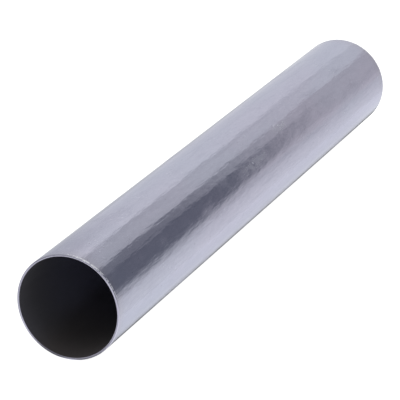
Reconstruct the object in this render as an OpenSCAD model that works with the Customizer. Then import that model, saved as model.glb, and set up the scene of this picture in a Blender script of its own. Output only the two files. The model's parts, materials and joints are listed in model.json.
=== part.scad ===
// Steel tube: one length of thin-wall round tube, cut square and deburred at both ends.
// It lies on the floor along X. The origin is on the floor, under the middle of its length.
// All sizes are in millimetres.

/* [Tube] */
// Outside diameter
outer_d = 70; // [20:0.5:150]
// Wall thickness
wall = 1.5; // [0.8:0.1:4]
// Length between the two cut ends
cut_length = 500; // [100:1:6000]

/* [Cut ends] */
// Bevel that deburring leaves on the outside edge of each end
outer_bevel = 0.4; // [0.1:0.05:0.4]
// Bevel that deburring leaves on the bore edge of each end
bore_bevel = 0.2; // [0.1:0.05:0.3]

/* [Hidden] */
$fn = 180;

outer_r = outer_d / 2;
bore_r = outer_r - wall;
half_length = cut_length / 2;

// Section of the wall in the plane of the axis: X is the radius, and Y runs along the tube.
// Each bevel takes the same amount off the cut face and off the wall beside it.
function wall_section() = [
    [bore_r, -half_length + bore_bevel],
    [bore_r + bore_bevel, -half_length],
    [outer_r - outer_bevel, -half_length],
    [outer_r, -half_length + outer_bevel],
    [outer_r, half_length - outer_bevel],
    [outer_r - outer_bevel, half_length],
    [bore_r + bore_bevel, half_length],
    [bore_r, half_length - bore_bevel]
];

// Lays a piece that was turned about Z down along X, so that it rests on the floor.
module lay_on_floor() {
    translate([0, 0, outer_r])
        rotate([0, 90, 0])
            children();
}

module tube() {
    color("lightsteelblue")
        lay_on_floor()
            rotate_extrude()
                polygon(wall_section());
}

tube();
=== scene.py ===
# %% [markdown]
# # A cut length of steel tube
#
# The object is one piece: a length of thin-wall round steel tube, sawn square, deburred and left
# as raw stock. It lies on its side. This lesson builds its wall, gives it three finishes and lights
# it in a small studio. The tube's sizes come from the design, which loads first and is never moved.

# %% Load the design
import json
import math

import bmesh
import bpy
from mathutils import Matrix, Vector


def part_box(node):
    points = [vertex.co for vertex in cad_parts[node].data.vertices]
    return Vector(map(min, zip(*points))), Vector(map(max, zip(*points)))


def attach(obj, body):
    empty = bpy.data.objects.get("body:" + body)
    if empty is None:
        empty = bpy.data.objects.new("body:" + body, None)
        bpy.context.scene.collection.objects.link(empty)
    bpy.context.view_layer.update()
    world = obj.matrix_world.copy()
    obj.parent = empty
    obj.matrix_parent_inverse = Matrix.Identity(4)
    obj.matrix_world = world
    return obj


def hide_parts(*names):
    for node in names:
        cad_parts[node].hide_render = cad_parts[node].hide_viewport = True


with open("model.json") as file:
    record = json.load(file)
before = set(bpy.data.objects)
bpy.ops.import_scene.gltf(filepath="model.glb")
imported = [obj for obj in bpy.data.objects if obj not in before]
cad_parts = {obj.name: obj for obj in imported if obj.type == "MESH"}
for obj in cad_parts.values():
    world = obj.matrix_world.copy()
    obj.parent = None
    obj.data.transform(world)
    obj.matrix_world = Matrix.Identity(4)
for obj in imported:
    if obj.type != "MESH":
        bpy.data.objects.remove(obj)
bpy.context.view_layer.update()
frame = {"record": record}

scene = bpy.context.scene

# %% [markdown]
# ## Sizes
#
# A tube has few sizes: two radii, a length, and the small edges that deburring leaves. The design's
# mesh has flat facets, which lie a hair inside the true circle. Half the height of its box is that
# hair smaller too, so taking it as the outside radius keeps the round tube built here inside the
# box. The bore has a mount that gives its radius. Each mount stops where the edge beside it begins,
# so both edges can be worked out as well, and nothing has to be typed in twice.

# %% Read the tube's sizes
MM = 0.001
low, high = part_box("tube")
dims = {mount["name"]: mount["dims"] for mount in frame["record"]["mounts"]}
length = high.x - low.x
outer_r = (high.z - low.z) / 2
bore_r = dims["bore"]["r_mm"] * MM
outer_edge = (length - dims["outside"]["length_mm"] * MM) / 2
bore_edge = (length - dims["bore"]["length_mm"] * MM) / 2
axis_z = low.z + outer_r
print(f"tube: {length / MM:.1f} mm long, {2 * outer_r / MM:.1f} mm across, "
      f"{(outer_r - bore_r) / MM:.2f} mm wall, edges {outer_edge / MM:.2f} and {bore_edge / MM:.2f} mm")

# %% [markdown]
# ## Camera
#
# A long lens from a little over a metre and a half keeps the two ends nearly the same size, as in
# a catalogue picture. The camera is placed by an azimuth and an elevation about the point it looks
# at, which are easier to reason about than three coordinates and three rotations.

# %% Place the camera
CAMERA_AZIMUTH = math.radians(-67.2)
CAMERA_ELEVATION = math.radians(20.32)
CAMERA_DISTANCE = 1.689
CAMERA_LENS = 219.8
CAMERA_SENSOR = 36.0
LOOK_AT = Vector((-0.0394, 0.0, 0.0339))


def backward(azimuth, elevation):
    """The direction from what is looked at to the camera."""
    flat = math.cos(elevation)
    return Vector((math.sin(azimuth) * flat, -math.cos(azimuth) * flat, math.sin(elevation)))


back = backward(CAMERA_AZIMUTH, CAMERA_ELEVATION)
camera = bpy.data.objects.new("camera", bpy.data.cameras.new("camera"))
camera.data.sensor_width = CAMERA_SENSOR
camera.data.lens = CAMERA_LENS
camera.location = LOOK_AT + back * CAMERA_DISTANCE
camera.rotation_euler = (-back).to_track_quat("-Z", "Y").to_euler()
scene.collection.objects.link(camera)
scene.camera = camera
print("camera at", [round(value, 3) for value in camera.location])

# %% [markdown]
# ## Writing node trees as sums
#
# Node trees are usually drawn by hand, and in code each node and link would take a line of its
# own. Two small classes let the rest of this lesson write them as Python expressions, which are
# easier to follow. A Value wraps one output socket, and each sum of values adds a Math node.


# %% Values
class Value:
    """One output socket, which stands in a sum such as 1 - mask * 0.5."""

    def __init__(self, graph, socket):
        self.graph = graph
        self.socket = socket

    def math(self, operation, *others):
        """This value put through a Math node, followed by any others that the operation takes."""
        return self.graph.math(operation, self, *others)

    def output(self, name):
        """Another output of the node that this one comes from."""
        return Value(self.graph, self.graph.find(self.socket.node.outputs, name))

    def between(self, low_end, high_end):
        """0 below low_end, 1 above high_end and a smooth step between them."""
        sockets = {"Value": self, "From Min": low_end, "From Max": high_end}
        return self.graph.add("ShaderNodeMapRange", {"interpolation_type": "SMOOTHSTEP"}, sockets)

    def __add__(self, other):
        return self.graph.math("ADD", self, other)

    def __radd__(self, other):
        return self.graph.math("ADD", other, self)

    def __sub__(self, other):
        return self.graph.math("SUBTRACT", self, other)

    def __rsub__(self, other):
        return self.graph.math("SUBTRACT", other, self)

    def __mul__(self, other):
        return self.graph.math("MULTIPLY", self, other)

    def __rmul__(self, other):
        return self.graph.math("MULTIPLY", other, self)

    def __truediv__(self, other):
        return self.graph.math("DIVIDE", self, other)

    def __rtruediv__(self, other):
        return self.graph.math("DIVIDE", other, self)

    def __mod__(self, other):
        return self.graph.math("FLOORED_MODULO", self, other)

    def __rmod__(self, other):
        return self.graph.math("FLOORED_MODULO", other, self)

    def __gt__(self, other):
        return self.graph.math("GREATER_THAN", self, other)

    def __lt__(self, other):
        return self.graph.math("LESS_THAN", self, other)

    def __neg__(self):
        return self.graph.math("SUBTRACT", 0.0, self)

    def __abs__(self):
        return self.graph.math("ABSOLUTE", self)


# %% [markdown]
# A Graph makes every other node: its settings first, and then what its sockets hold or are
# linked to. Materials, the sky and Geometry Nodes are all node trees, so one class serves them all.


# %% Graphs
class Graph:
    """A node tree that is being built."""

    def __init__(self, tree):
        self.tree = tree
        tree.nodes.clear()

    def find(self, sockets, key):
        """The socket at a place in the list, or the enabled one of that name."""
        if isinstance(key, int):
            return sockets[key]
        return next(socket for socket in sockets if socket.enabled and socket.name == key)

    def add(self, kind, settings=None, sockets=None, output=None):
        """Makes a node and gives back the output named or else the first enabled one, if it has any."""
        node = self.tree.nodes.new(kind)
        for name, setting in (settings or {}).items():
            setattr(node, name, setting)
        for key, content in (sockets or {}).items():
            socket = self.find(node.inputs, key)
            if isinstance(content, Value):
                self.tree.links.new(content.socket, socket)
            else:
                socket.default_value = content
        if not node.outputs:
            return node
        if output is None:
            return Value(self, next(socket for socket in node.outputs if socket.enabled))
        return Value(self, self.find(node.outputs, output))

    def math(self, operation, *inputs):
        return self.add("ShaderNodeMath", {"operation": operation}, dict(enumerate(inputs)))

    def vector(self, x, y, z):
        return self.add("ShaderNodeCombineXYZ", None, {"X": x, "Y": y, "Z": z})

    def axes(self, vector):
        """A vector's X, Y and Z."""
        parts = self.add("ShaderNodeSeparateXYZ", None, {"Vector": vector}, "X")
        return parts, parts.output("Y"), parts.output("Z")


# %% [markdown]
# ## Finishes
#
# Drawn steel is never one grey. Each finish below is a material that reads Object coordinates,
# so its pattern sits in the metal itself. Stretching a noise a long way along X turns its blots
# into lines that run with the tube, which is what dragging the metal through a die leaves. An
# image texture would need an unwrapped mesh and would blur close up. A noise avoids both.


# %% Start a finish
STEEL_EDGE_TINT = (0.76, 0.78, 0.83, 1)


class Finish(Graph):
    """A material's node tree, with the patterns that steel needs."""

    def __init__(self, name):
        self.material = bpy.data.materials.new(name)
        self.material.use_nodes = True
        super().__init__(self.material.node_tree)
        self.place = self.add("ShaderNodeTexCoord", None, None, "Object")

    def blots(self, size, stretch=1.0, detail=3.0, shift=0.0):
        """Cloudy noise from 0 to 1, with blots of this size in metres, stretched along the tube."""
        sockets = {"Vector": self.place, "Location": (shift, shift, shift), "Scale": (1 / stretch, 1, 1)}
        placed = self.add("ShaderNodeMapping", None, sockets)
        return self.add("ShaderNodeTexNoise", None, {"Vector": placed, "Scale": 1 / size, "Detail": detail})

    def radius(self):
        """The distance from the tube's axis."""
        _, side, up = self.axes(self.place)
        return (side * side + (up - axis_z) * (up - axis_z)).math("SQRT")

    def facing(self, degrees):
        """1 on the side that lies this far up from the tube's front, falling to -1 opposite."""
        _, side, up = self.axes(self.place)
        front, above = math.cos(math.radians(degrees)), math.sin(math.radians(degrees))
        return ((up - axis_z) * above - side * front) / self.radius()

    def blend(self, amount, first, second):
        sockets = {"Factor": amount, "A": first, "B": second}
        return self.add("ShaderNodeMix", {"data_type": "RGBA"}, sockets)

    def bump(self, height, distance):
        return self.add("ShaderNodeBump", None, {"Height": height, "Distance": distance, "Strength": 1.0})

    def steel(self, color, roughness, normal, metallic=1.0):
        sockets = {"Base Color": color, "Roughness": roughness, "Normal": normal, "Metallic": metallic,
                   "Specular Tint": STEEL_EDGE_TINT}
        shader = self.add("ShaderNodeBsdfPrincipled", None, sockets)
        self.add("ShaderNodeOutputMaterial", None, {"Surface": shader})
        print(f"{self.material.name}: {len(self.tree.nodes)} nodes")
        return self.material


# %% [markdown]
# ### The drawn skin
#
# The outside is bright but satin. Slow ripples left by the die bend the edge of every reflection,
# short feathers fray it, and draw lines too fine to see spread it a little. Those three are
# relief, so they go into the bump. They could be built into the mesh, but it would need millions
# of faces to hold them. Haze and two small scuffs from handling are films and fine scratches, so
# they go into the roughness. Tiny nicks in them are painted in as bright glints, where they would
# catch the light. Colour changes least: the steel drifts between a blue and a lavender grey, with
# faint clouds, stains and pits.
# The very ends are duller where the tube is gripped. High at the front the last of the skin has a
# painted highlight, broken by a noise. Sides of the tube are named by an angle up from its front.


# %% Skin colours and scuffs
SKIN_COLORS = {
    "blue": (0.463, 0.470, 0.560, 1),
    "lavender": (0.476, 0.466, 0.560, 1),
    "cloud": (0.35, 0.355, 0.44, 1),
    "stain": (0.385, 0.385, 0.47, 1),
    "very end": (0.43, 0.415, 0.47, 1),
    "pit": (0.16, 0.155, 0.18, 1),
    "rubbed_and_lit": (0.60, 0.61, 0.68, 1),
    "nick_glint": (0.80, 0.81, 0.88, 1),
    "end_highlight": (0.95, 0.95, 0.97, 1),
}
SKIN_RELIEF = 0.00005
HIGHLIGHT_SIDE = 55
# A scuff's turn is in degrees from straight up, and is below 0 at the front.
SCUFFS = [
    {"along": -0.010, "turn": -55, "length": 0.038, "width": 0.0058},
    {"along": 0.052, "turn": -41, "length": 0.024, "width": 0.0050},
]


def scuffed(finish):
    """1 in the middle of a scuff, fading to 0 at its border."""
    marks = 0.0
    for scuff in SCUFFS:
        turn = math.radians(scuff["turn"])
        middle = Vector((scuff["along"], outer_r * math.sin(turn), axis_z + outer_r * math.cos(turn)))
        size = (scuff["length"], scuff["width"], scuff["width"])
        shift = -Vector(place / reach for place, reach in zip(middle, size))
        sockets = {"Vector": finish.place, "Location": shift, "Scale": Vector(1 / reach for reach in size)}
        placed = finish.add("ShaderNodeMapping", None, sockets)
        distance = finish.add("ShaderNodeVectorMath", {"operation": "LENGTH"}, {0: placed}, "Value")
        marks = marks + (1 - distance.between(0.1, 1.0))
    return marks


print(len(SKIN_COLORS), "skin colours,", len(SCUFFS), "scuffs")


# %% Drawn skin
def drawn_skin():
    finish = Finish("drawn_steel")
    from_end = length / 2 - abs(finish.axes(finish.place)[0])
    lines = finish.blots(0.0005, stretch=90, detail=2)
    ripples = finish.blots(0.0065, stretch=9, detail=3, shift=3)
    feathers = finish.blots(0.0024, stretch=5, detail=2, shift=5)
    grain = finish.blots(0.0022, stretch=2.5, detail=4, shift=41)
    stains = finish.blots(0.0045, stretch=9, detail=4, shift=43).between(0.54, 0.68)
    clouds = finish.blots(0.0075, stretch=3.5, detail=5, shift=13)
    haze = finish.blots(0.012, stretch=2.5, detail=5, shift=7).between(0.48, 0.70)
    # Tiny nicks, painted in as bright glints where they catch the light.
    nick_glints = finish.blots(0.0013, stretch=1.6, detail=1, shift=17).between(0.64, 0.72)
    pits = finish.blots(0.0014, detail=1, shift=19).between(0.755, 0.79)
    mottle = finish.blots(0.05, stretch=2.5, detail=2, shift=11).between(0.38, 0.62)
    scuffs = scuffed(finish) * grain.between(0.34, 0.54)
    gripped = 1 - (from_end + clouds * 0.008).between(0.002, 0.016)
    # A painted highlight on the last millimetre or so of skin, high at the front, broken by a noise.
    edge_band = (1 - from_end.between(0.0010, 0.0016)) * finish.facing(HIGHLIGHT_SIDE).between(0.72, 0.95)
    end_highlight = edge_band * finish.blots(0.0016, detail=3, shift=27).between(0.40, 0.55)

    color = finish.blend(mottle, SKIN_COLORS["blue"], SKIN_COLORS["lavender"])
    color = finish.blend((clouds + grain - 1) * 0.45 + 0.12, color, SKIN_COLORS["cloud"])
    color = finish.blend(stains * 0.3, color, SKIN_COLORS["stain"])
    color = finish.blend(gripped * 0.55, color, SKIN_COLORS["very end"])
    color = finish.blend(pits * 0.7, color, SKIN_COLORS["pit"])
    color = finish.blend(scuffs * 0.5, color, SKIN_COLORS["rubbed_and_lit"])
    color = finish.blend(nick_glints * (haze * 0.2 + scuffs * 1.1 + 0.06), color, SKIN_COLORS["nick_glint"])
    color = finish.blend(end_highlight, color, SKIN_COLORS["end_highlight"])
    roughness = (0.08 + lines * 0.03 + clouds * 0.05 + haze * 0.12 + scuffs * 0.16 + gripped * 0.05
                 + end_highlight * 0.35 + nick_glints * scuffs * 0.3)
    height = ripples * 4.0 + feathers * 2.6 + lines * 0.03
    return finish.steel(color, roughness, finish.bump(height, SKIN_RELIEF))


skin_finish = drawn_skin()

# %% [markdown]
# ### The sawn ends
#
# A saw leaves the end face greyer and rougher than the skin, with fine marks all over it. Painted
# light brightens the face low at the front, and painted shade darkens it underneath. The deburring
# wheel rounds both edges. Near the top a dark line of painted shade runs where the edge begins. The
# edge has painted light low at the front and a painted highlight high there, broken by a noise.
# Face and edge could be two materials, but those meet in a hard line that follows the mesh. One
# finish covers both instead. It tells them apart by their distance from the axis, which lets one
# fade into the other, and tells one side from another by an angle up from the front.


# %% Sawn face
FACE_COLORS = {
    "dark patch": (0.38, 0.375, 0.46, 1),
    "light patch": (0.49, 0.485, 0.59, 1),
    "painted_shade": (0.20, 0.195, 0.24, 1),
    "rubbed_and_lit": (0.57, 0.56, 0.69, 1),
    "shade_line": (0.08, 0.08, 0.10, 1),
    "dull edge": (0.32, 0.32, 0.385, 1),
    "lit edge": (0.54, 0.53, 0.64, 1),
    "highlight_breaks": (0.54, 0.55, 0.64, 1),
    "bright": (0.93, 0.95, 1.0, 1),
}
FACE_RELIEF = 0.00002
WHEEL_LIMITS = (-0.05 * MM, 0.10 * MM)
SHADE_LINE_LIMITS = (-0.40 * MM, -0.25 * MM)
SHADE_SIDE = -114
LIT_SIDE = -30
LIT_EDGE_SIDE = -40
SHADE_LINE_SIDE = 90


def sawn_face():
    finish = Finish("sawn_steel")
    radius = finish.radius()
    marks = finish.blots(0.0004, detail=3, shift=23)
    patches = finish.blots(0.006, detail=2, shift=29)
    highlight_breaks = finish.blots(0.0016, detail=3, shift=27).between(0.40, 0.60)
    edge_start = outer_r - outer_edge
    edge_band = radius.between(*(edge_start + limit for limit in WHEEL_LIMITS))
    # A thin dark ring of painted shade where the edge begins, kept to the top below.
    shade_line = radius.between(*(edge_start + limit for limit in SHADE_LINE_LIMITS)) * (1 - edge_band)
    # Painted shade: the face is darker underneath.
    painted_shade = finish.facing(SHADE_SIDE).between(0.80, 1.0)
    # Painted light: the face and the edge are brighter low at the front.
    rubbed_and_lit = finish.facing(LIT_SIDE).between(0.3, 0.85)
    lit_edge = finish.facing(LIT_EDGE_SIDE).between(0.4, 0.9)
    # A painted highlight on the edge high at the front, broken by a noise.
    edge_highlight = finish.facing(HIGHLIGHT_SIDE).between(0.84, 0.97)

    face = finish.blend(patches, FACE_COLORS["dark patch"], FACE_COLORS["light patch"])
    face = finish.blend(painted_shade * 0.7, face, FACE_COLORS["painted_shade"])
    face = finish.blend(rubbed_and_lit * 0.6, face, FACE_COLORS["rubbed_and_lit"])
    shade_line = shade_line * finish.facing(SHADE_LINE_SIDE).between(0.5, 0.85)
    face = finish.blend(shade_line * 0.8, face, FACE_COLORS["shade_line"])
    broken = finish.blend(highlight_breaks, FACE_COLORS["highlight_breaks"], FACE_COLORS["bright"])
    edge = finish.blend(lit_edge, FACE_COLORS["dull edge"], FACE_COLORS["lit edge"])
    edge = finish.blend(edge_highlight, edge, broken)
    roughness = 0.34 + marks * 0.16 - edge_band * 0.12
    return finish.steel(finish.blend(edge_band, face, edge), roughness, finish.bump(marks, FACE_RELIEF))


face_finish = sawn_face()

# %% [markdown]
# ### The bore
#
# Nothing polishes the inside, so it keeps the dark scale of the mill: nearly black and dull. At
# the mouths it is darkened by oil and grime from handling, and further in a bluish reflection is
# painted on.
# Along the bottom, where damp settles, it has turned faintly brown. A plain black would do for the
# mouth, but a look along the bore would then find nothing there, so each of these has a colour of
# its own, faded in by its place.


# %% Bore scale
BORE_COLORS = {
    "oily": (0.056, 0.055, 0.065, 1),
    "dry": (0.080, 0.079, 0.090, 1),
    "painted blue reflection": (0.205, 0.210, 0.310, 1),
    "damp": (0.052, 0.045, 0.042, 1),
}
BORE_RELIEF = 0.00004


def bore_scale():
    finish = Finish("bore_scale")
    along, _, up = finish.axes(finish.place)
    lines = finish.blots(0.0009, stretch=40, detail=3, shift=31)
    patches = finish.blots(0.02, stretch=3, detail=4, shift=37)
    inward = (length / 2 - abs(along)).between(0.015, 0.110)
    damp = 1 - (up + patches * 0.012).between(0.008, 0.024)
    color = finish.blend(lines, BORE_COLORS["oily"], BORE_COLORS["dry"])
    # Further in, a painted bluish reflection lightens the scale.
    color = finish.blend(inward, color, BORE_COLORS["painted blue reflection"])
    color = finish.blend(damp * 0.8, color, BORE_COLORS["damp"])
    roughness = 0.58 + lines * 0.2
    return finish.steel(color, roughness, finish.bump(lines, BORE_RELIEF), metallic=0.3)


bore_finish = bore_scale()

# %% [markdown]
# ## The wall
#
# A tube is its wall's section carried once round the axis. A cylinder with a Solidify and a Bevel
# modifier comes close, but rounds every edge alike, and the outer and bore edges differ in size.
# Geometry Nodes can carry any section. A rectangle as thick as the wall and as long as the tube has
# its four corners rounded. Its long sides are cut into rings that crowd towards the ends. A grid is
# then wrapped round the axis, and each row of it takes its place from one point of the section.


# %% The section of the wall
END_FACE_SHARE = 0.4


def edge_size(given, outside):
    """The bore edge's size, or the outer edge's where outside is 1."""
    return given["Bore edge"] + (given["Outer edge"] - given["Bore edge"]) * outside


def wall_section(graph, given):
    half = given["Length"] * 0.5
    rectangle = graph.add("GeometryNodeCurvePrimitiveQuadrilateral", {"mode": "RECTANGLE"},
                          {"Width": given["Wall"], "Height": given["Length"]})
    position = graph.add("GeometryNodeInputPosition")
    across, along, _ = graph.axes(position)
    edge = edge_size(given, across > 0)
    rounded = graph.add("GeometryNodeFilletCurve", {"mode": "POLY"},
                        {"Curve": rectangle, "Radius": edge, "Count": given["Edge steps"]})
    count = graph.add("GeometryNodeAttributeDomainSize", {"component": "CURVE"},
                      {"Geometry": rounded}, "Point Count")
    index = graph.add("GeometryNodeInputIndex")
    following = graph.add("GeometryNodeFieldAtIndex", {"data_type": "FLOAT_VECTOR", "domain": "POINT"},
                          {"Index": (index + 1) % count, "Value": position})
    gap = graph.add("ShaderNodeVectorMath", {"operation": "DISTANCE"},
                    {0: following, 1: position}, "Value")
    # A long side is cut into rings, an end face in two, and the short steps of a corner not at all.
    cuts = (gap > half) * given["Rings"] + (gap > given["Wall"] * END_FACE_SHARE)
    divided = graph.add("GeometryNodeSubdivideCurve", None, {"Curve": rounded, "Cuts": cuts})
    straight = half - edge
    eased = straight * (along / straight * (math.pi / 2)).math("SINE")
    return graph.add("GeometryNodeSetPosition", None, {
        "Geometry": divided,
        "Selection": abs(along) < straight,
        "Position": graph.vector(across, eased, 0.0)})


# %% Carry the section round the axis
MERGE_WITHIN = 0.001 * MM


def wrap_round(graph, given, section):
    count = graph.add("GeometryNodeAttributeDomainSize", {"component": "CURVE"},
                      {"Geometry": section}, "Point Count")
    grid = graph.add("GeometryNodeMeshGrid", None,
                     {"Vertices X": given["Segments"] + 1, "Vertices Y": count + 1}, "Mesh")
    index = graph.add("GeometryNodeInputIndex")
    row = index % (count + 1)
    column = (index - row) / (count + 1)
    turn = column / given["Segments"]
    position = graph.add("GeometryNodeInputPosition")
    factor = graph.add("GeometryNodeSplineParameter", None, None, "Factor")
    placed = graph.add("GeometryNodeSampleIndex", {"data_type": "FLOAT_VECTOR", "domain": "POINT"},
                       {"Geometry": section, "Value": position, "Index": row % count})
    share = graph.add("GeometryNodeSampleIndex", {"data_type": "FLOAT", "domain": "POINT"},
                      {"Geometry": section, "Value": factor, "Index": row % count})
    across, along, _ = graph.axes(placed)
    radius = given["Outer radius"] - given["Wall"] * 0.5 + across
    angle = turn * -math.tau
    wrapped = graph.vector(along, radius * angle.math("SINE"),
                           radius * angle.math("COSINE") + given["Axis height"])
    mapped = graph.add("GeometryNodeStoreNamedAttribute", {"data_type": "FLOAT2", "domain": "CORNER"}, {
        "Geometry": grid,
        "Name": "UVMap",
        "Value": graph.vector(turn, share + (row > count - 0.5), 0.0)})
    moved = graph.add("GeometryNodeSetPosition", None, {"Geometry": mapped, "Position": wrapped})
    return graph.add("GeometryNodeMergeByDistance", None, {"Geometry": moved, "Distance": MERGE_WITHIN})


# %% [markdown]
# ### Hand deburring and finishes by place
#
# No deburring wheel takes quite the same amount off all the way round. The edges could be shaped
# by hand in Sculpt Mode, but a slow noise does it the same way each time. It draws them into the
# wall, never out of it. Then each face gets its finish by where it is.


# %% Deburr the edges and paint the faces
DEBURR_BLOTS_PER_METRE = 160.0


def deburr_and_finish(graph, given, tube):
    position = graph.add("GeometryNodeInputPosition")
    along, side, up = graph.axes(position)
    up = up - given["Axis height"]
    radius = (side * side + up * up).math("SQRT")
    outside = radius > given["Outer radius"] - given["Wall"] * 0.5
    edge = edge_size(given, outside)
    half = given["Length"] * 0.5
    near_end = abs(along).between(half - edge * 1.5, half - edge * 0.3)
    noise = graph.add("ShaderNodeTexNoise", {"noise_dimensions": "4D"}, {
        "Vector": position,
        "W": given["Deburr seed"],
        "Scale": DEBURR_BLOTS_PER_METRE,
        "Detail": 2.0})
    depth = near_end * noise * given["Deburr depth"]
    inward = (1 - outside * 2) * depth
    offset = graph.vector(-(along.math("SIGN") * depth), side / radius * inward, up / radius * inward)
    worn = graph.add("GeometryNodeSetPosition", None, {"Geometry": tube, "Offset": offset})
    smooth = graph.add("GeometryNodeSetShadeSmooth", None, {"Geometry": worn, "Shade Smooth": True})
    real = graph.add("GeometryNodeRealizeInstances", None, {"Geometry": smooth})
    painted = graph.add("GeometryNodeReplaceMaterial", None, {"Geometry": real, "New": given["Skin"]})
    at_end = abs(along) > half - edge
    for material, where in (("Bore", 1 - outside), ("Face", at_end)):
        painted = graph.add("GeometryNodeSetMaterial", None,
                            {"Geometry": painted, "Selection": where, "Material": given[material]})
    return painted


# %% Build the tree and the tube
WALL_INPUTS = {
    "Outer radius": ("NodeSocketFloat", outer_r),
    "Wall": ("NodeSocketFloat", outer_r - bore_r),
    "Length": ("NodeSocketFloat", length),
    "Axis height": ("NodeSocketFloat", axis_z),
    "Outer edge": ("NodeSocketFloat", outer_edge),
    "Bore edge": ("NodeSocketFloat", bore_edge),
    "Deburr depth": ("NodeSocketFloat", 0.00006),
    "Deburr seed": ("NodeSocketFloat", 5.0),
    "Segments": ("NodeSocketInt", 288),
    "Rings": ("NodeSocketInt", 72),
    "Edge steps": ("NodeSocketInt", 4),
    "Skin": ("NodeSocketMaterial", skin_finish),
    "Face": ("NodeSocketMaterial", face_finish),
    "Bore": ("NodeSocketMaterial", bore_finish),
}


def build_tube():
    tree = bpy.data.node_groups.new("tube_wall", "GeometryNodeTree")
    identifiers = {}
    for name, (kind, _) in WALL_INPUTS.items():
        socket = tree.interface.new_socket(name=name, in_out="INPUT", socket_type=kind)
        identifiers[name] = socket.identifier
    tree.interface.new_socket(name="Geometry", in_out="OUTPUT", socket_type="NodeSocketGeometry")
    graph = Graph(tree)
    first = graph.add("NodeGroupInput", None, None, "Outer radius")
    given = {name: first.output(name) for name in WALL_INPUTS}
    tube = deburr_and_finish(graph, given, wrap_round(graph, given, wall_section(graph, given)))
    graph.add("NodeGroupOutput", None, {"Geometry": tube})

    host = bpy.data.objects.new("tube_host", bpy.data.meshes.new("tube_host"))
    scene.collection.objects.link(host)
    modifier = host.modifiers.new("wall", "NODES")
    modifier.node_group = tree
    for name, (_, value) in WALL_INPUTS.items():
        modifier[identifiers[name]] = value
    evaluated = host.evaluated_get(bpy.context.evaluated_depsgraph_get())
    mesh = bpy.data.meshes.new_from_object(evaluated)
    mesh.name = "steel_tube"
    host.modifiers.clear()
    bpy.data.objects.remove(host)
    tube = bpy.data.objects.new("steel_tube", mesh)
    scene.collection.objects.link(tube)
    return tube


def measure(mesh):
    """Signed volume in cubic millimetres, and how many edges don't have exactly two faces."""
    shape = bmesh.new()
    shape.from_mesh(mesh)
    volume = shape.calc_volume(signed=True) / MM**3
    loose = sum(1 for edge in shape.edges if len(edge.link_faces) != 2)
    shape.free()
    return volume, loose


tube = build_tube()
volume, loose = measure(tube.data)
print(f"tube: {len(tube.data.polygons)} faces, volume {volume:.0f} mm3, {loose} open edges, "
      f"finishes {[material.name for material in tube.data.materials]}")

# %% [markdown]
# ## The studio
#
# Bright metal shows its surroundings more than itself. The tube lies on a sheet of milky plastic
# lit from below, which leaves it hardly any shadow, and under a round tent of cloth, as small
# bright goods are for a catalogue. Only reflections see the tent, so it never hides the tube. Two
# dark strips on the floor, seen only by reflections too, are a painted contact shadow: they give
# the lower outline a fine line that is darkest at the edge and softer above. Plain lamps could
# light the tube too, but bright metal would show each one as a hard patch, so the one lamp here
# is hidden from reflections. The Standard view transform keeps the white floor white.

# %% Floor and light
FLOOR_SIZE = 40.0
FLOOR_COLOR = (0.25, 0.25, 0.25, 1)
FLOOR_GLOW = 0.96
# Dark strips under the tube that only reflections see: a painted contact shadow.
SHADOW_STRIP_COLOR = (0.02, 0.02, 0.02, 1)
SHADOW_STRIP_OVERHANG = 0.07
SHADOW_STRIPS = [
    {"name": "outer_shadow_strip", "half_width": 0.029, "height": 0.0005, "glow": 0.86},
    {"name": "inner_shadow_strip", "half_width": 0.0235, "height": 0.001, "glow": 0.22},
]
SKY_STRENGTH = 1.0
TOP_LIGHT = {"place": (-0.6, 0.9, 2.6), "size": 2.4, "watts": 30}


def link(name, data):
    thing = bpy.data.objects.new(name, data)
    scene.collection.objects.link(thing)
    return thing


def reflected_only(thing):
    """Leaves a staged thing in reflections, and takes it out of all else."""
    thing.visible_camera = False
    thing.visible_diffuse = False
    thing.visible_shadow = False
    thing.visible_transmission = False


def level_sheet(name, half_x, half_y, height, color, glow):
    corners = [(-half_x, -half_y, height), (half_x, -half_y, height),
               (half_x, half_y, height), (-half_x, half_y, height)]
    mesh = bpy.data.meshes.new(name)
    mesh.from_pydata(corners, [], [(0, 1, 2, 3)])
    material = bpy.data.materials.new(name)
    material.use_nodes = True
    graph = Graph(material.node_tree)
    sheet = graph.add("ShaderNodeBsdfPrincipled", None, {
        "Base Color": color,
        "Roughness": 1.0,
        "Specular IOR Level": 0.0,
        "Emission Color": (1, 1, 1, 1),
        "Emission Strength": glow})
    graph.add("ShaderNodeOutputMaterial", None, {"Surface": sheet})
    mesh.materials.append(material)
    return link(name, mesh)


def sky(strength):
    world = bpy.data.worlds.new("sky")
    scene.world = world
    world.use_nodes = True
    graph = Graph(world.node_tree)
    light = graph.add("ShaderNodeBackground", None, {"Color": (1, 1, 1, 1), "Strength": strength})
    graph.add("ShaderNodeOutputWorld", None, {"Surface": light})


def softbox(name, place, size, watts):
    lamp = bpy.data.lights.new(name, "AREA")
    lamp.size = size
    lamp.energy = watts
    box = link(name, lamp)
    box.location = place
    box.rotation_euler = (Vector((0, 0, 0)) - Vector(place)).to_track_quat("-Z", "Y").to_euler()
    box.visible_glossy = False


scene.view_settings.view_transform = "Standard"
level_sheet("floor", FLOOR_SIZE / 2, FLOOR_SIZE / 2, 0.0, FLOOR_COLOR, FLOOR_GLOW)
for strip in SHADOW_STRIPS:
    reflected_only(level_sheet(strip["name"], length / 2 + SHADOW_STRIP_OVERHANG, strip["half_width"],
                               strip["height"], SHADOW_STRIP_COLOR, strip["glow"]))
sky(SKY_STRENGTH)
softbox("top_light", **TOP_LIGHT)
print(f"studio: a floor {FLOOR_SIZE:.0f} m square, {len(SHADOW_STRIPS)} strips and a {TOP_LIGHT['watts']} W lamp")

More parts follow.
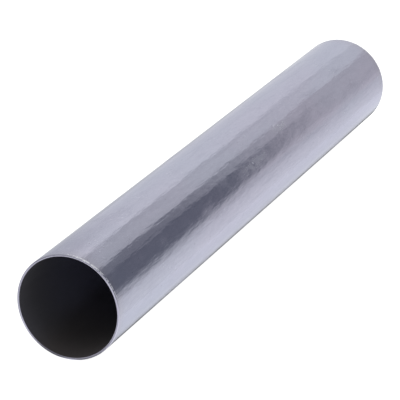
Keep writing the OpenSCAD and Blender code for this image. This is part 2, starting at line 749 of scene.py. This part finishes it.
# %% [markdown]
# ### The tent
#
# The tent's light is worked out at each of its points, which the render blends between. Its tones
# could also come from a material, but a lean or a window takes many nodes and only a line of
# Python. An angle from straight up, below 0 at the front, says how far round a point is, and a few
# stops give the cloth's tone there.
#
# A flag is a layer of dark gauze hung inside, which lets only part of the light pass: a window in
# that angle, with soft edges, which ends part of the way along. A lean slides its first edge as it
# goes. The darker the cloth, the bluer it is, as shade is out of doors, and its far ends are a
# little warmer on the front side.

# %% Cloth tones
TENT_RADIUS = 0.5
TENT_HALF_LENGTH = 2.0
TENT_LIMIT = 120
CLOTH_TONES = [
    (-120, 1.16), (-106, 1.01), (-92, 0.83), (-78, 0.73), (-28, 0.73),
    (-23, 0.92), (9, 0.96), (15, 1.06), (70, 1.05), (120, 0.99),
]
FLAGS = [
    {"from": (-92, 12), "to": (-46, 3), "lean": 38, "end": (0.90, 0.16), "passes": 0.335},
    {"from": (-48, 3), "to": (-27.5, 3.5), "lean": 0, "end": (0.76, 0.16), "passes": 0.47},
    {"from": (-26, 2), "to": (12, 3), "lean": 0, "end": (0.66, 0.16), "passes": 0.85},
    {"from": (-84, 10), "to": (12, 3), "lean": 0, "end": (1.00, 0.12), "passes": 0.90},
    {"from": (32, 16), "to": (160, 3), "lean": 0, "end": (0.553, 0.060), "passes": 0.79},
    {"from": (-31, 1), "to": (-26, 1), "lean": 0, "end": (1.20, 0.05), "passes": 0.92},
    {"from": (4, 2), "to": (12, 1), "lean": 0, "end": (1.20, 0.05), "passes": 0.91},
]
LEAN_STARTS = 0.55
CLOTH_END_TONE = 0.6
WARM_CLOTH = {"amount": 0.035, "beyond": (0.85, 0.15), "below": (-24, 4)}
DARK_CLOTH_RED = -0.012
DARK_CLOTH_BLUE = 0.05


def step(value, middle, soft):
    """0 up to soft below the middle, 1 from soft above it and a smooth step between."""
    share = min(1.0, max(0.0, (value - middle + soft) / (2 * soft)))
    return share * share * (3 - 2 * share)


def cloth_tone(angle, x):
    pairs = zip(CLOTH_TONES, CLOTH_TONES[1:])
    (start, first), (stop, last) = next(pair for pair in pairs if angle <= pair[1][0])
    tone = first + (last - first) * (angle - start) / (stop - start)
    for flag in FLAGS:
        middle, soft = flag["from"]
        window = step(angle, middle + flag["lean"] * max(0.0, abs(x) - LEAN_STARTS), soft)
        window *= 1 - step(angle, *flag["to"])
        window *= 1 - step(abs(x), *flag["end"])
        tone *= 1 - (1 - flag["passes"]) * window
    return tone


def cloth_light(angle, x):
    """The cloth's light as a colour, which drifts a little from grey."""
    tone = cloth_tone(angle, x)
    dark = 1 - tone
    warm = WARM_CLOTH["amount"] * step(abs(x), *WARM_CLOTH["beyond"])
    warm *= 1 - step(angle, *WARM_CLOTH["below"])
    return tone * (1 + warm) + DARK_CLOTH_RED * dark, tone, tone + DARK_CLOTH_BLUE * dark, 1


print(f"cloth: {len(CLOTH_TONES)} stops, {len(FLAGS)} flags, tone {cloth_tone(0, 0):.2f} straight up")

# %% [markdown]
# The tent itself is a grid bent round the tube's axis, with a flat panel of cloth at each end. It
# could stop where it meets the floor, but the tube's lower side reflects the floor beside it, so
# the cloth turns in there and lies just above the floor, towards the tube.

# %% Hang the tent
TENT_AROUND = 240
TENT_ALONG = 160
OFF_FLOOR = MM


def tent_point(angle, x):
    turn = math.radians(angle)
    reach = TENT_RADIUS
    if math.cos(turn) < 0:
        reach = min(reach, (axis_z - OFF_FLOOR) / -math.cos(turn))
    return x, reach * math.sin(turn), axis_z + reach * math.cos(turn)


def tent():
    points = []
    lights = []
    for i in range(TENT_AROUND + 1):
        angle = TENT_LIMIT * (2 * i / TENT_AROUND - 1)
        for j in range(TENT_ALONG + 1):
            x = TENT_HALF_LENGTH * (2 * j / TENT_ALONG - 1)
            points.append(tent_point(angle, x))
            lights.extend(cloth_light(angle, x))
    row = TENT_ALONG + 1
    corners = [i * row + j for i in range(TENT_AROUND) for j in range(TENT_ALONG)]
    faces = [(k, k + 1, k + row + 1, k + row) for k in corners]
    for x in (-TENT_HALF_LENGTH, TENT_HALF_LENGTH):
        first = len(points)
        for i in range(TENT_AROUND + 1):
            _, y, z = points[i * row]
            points.append((x, y, z))
            lights.extend((CLOTH_END_TONE, CLOTH_END_TONE, CLOTH_END_TONE, 1))
        faces.append(tuple(range(first, len(points))))
    mesh = bpy.data.meshes.new("tent")
    mesh.from_pydata(points, [], faces)
    mesh.attributes.new("cloth", "FLOAT_COLOR", "POINT").data.foreach_set("color", lights)
    material = bpy.data.materials.new("tent_cloth")
    material.use_nodes = True
    graph = Graph(material.node_tree)
    cloth = graph.add("ShaderNodeAttribute", {"attribute_name": "cloth"}, None, "Color")
    light = graph.add("ShaderNodeEmission", None, {"Color": cloth, "Strength": 1.0})
    graph.add("ShaderNodeOutputMaterial", None, {"Surface": light})
    mesh.materials.append(material)
    hung = link("tent", mesh)
    reflected_only(hung)
    return hung


print("tent:", len(tent().data.polygons), "panels")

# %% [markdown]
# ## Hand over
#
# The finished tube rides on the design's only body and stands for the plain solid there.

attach(tube, "root")
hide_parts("tube")
